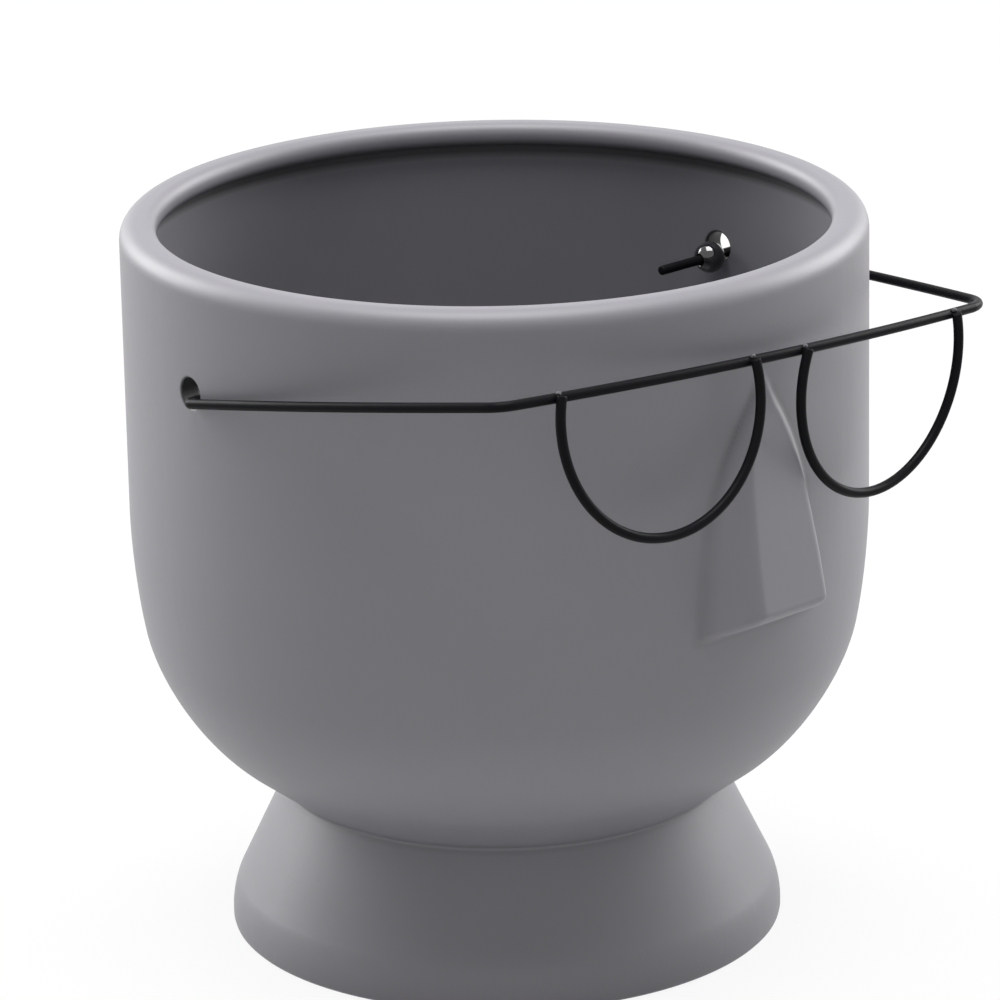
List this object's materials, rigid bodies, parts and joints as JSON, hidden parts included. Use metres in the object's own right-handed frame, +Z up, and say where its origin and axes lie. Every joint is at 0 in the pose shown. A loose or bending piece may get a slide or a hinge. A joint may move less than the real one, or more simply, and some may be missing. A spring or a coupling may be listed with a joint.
{
  "type": "head planter",
  "caption": "Round ceramic planter shaped as a head with a wedge nose on a flared foot, wearing a swinging wire spectacle frame.",
  "frame": {"origin": "centre of the ring that the foot stands on", "axes": "+Z up along the bowl's axis; the nose and the spectacles face -Y; +X is to the right of someone who faces the nose"},
  "size_m": [0.1556, 0.1593, 0.15],
  "materials": {
    "glazed_grey": "satin grey glaze",
    "black_wire": "black paint on steel wire, semi-gloss",
    "black_bead": "glossy black"
  },
  "bodies": {
    "planter": {"planter_body": "glazed_grey"},
    "spectacles": {"brow_wire": "black_wire", "lens_wire_left": "black_wire", "lens_wire_right": "black_wire"},
    "left_bead": {"stopper_left": "black_bead"},
    "right_bead": {"stopper_right": "black_bead"}
  },
  "joints": [
    {"name": "spectacles_swing", "type": "hinge", "parent": "planter", "child": "spectacles", "pos_m": [0, 0.0059, 0.1252], "axis": [-1, 0, 0], "range_deg": [-1.5, 205]},
    {"name": "left_bead_slide", "type": "slide", "parent": "spectacles", "child": "left_bead", "axis": [1, 0, 0], "range_m": [0, 0.012]},
    {"name": "right_bead_slide", "type": "slide", "parent": "spectacles", "child": "right_bead", "axis": [-1, 0, 0], "range_m": [0, 0.012]}
  ]
}
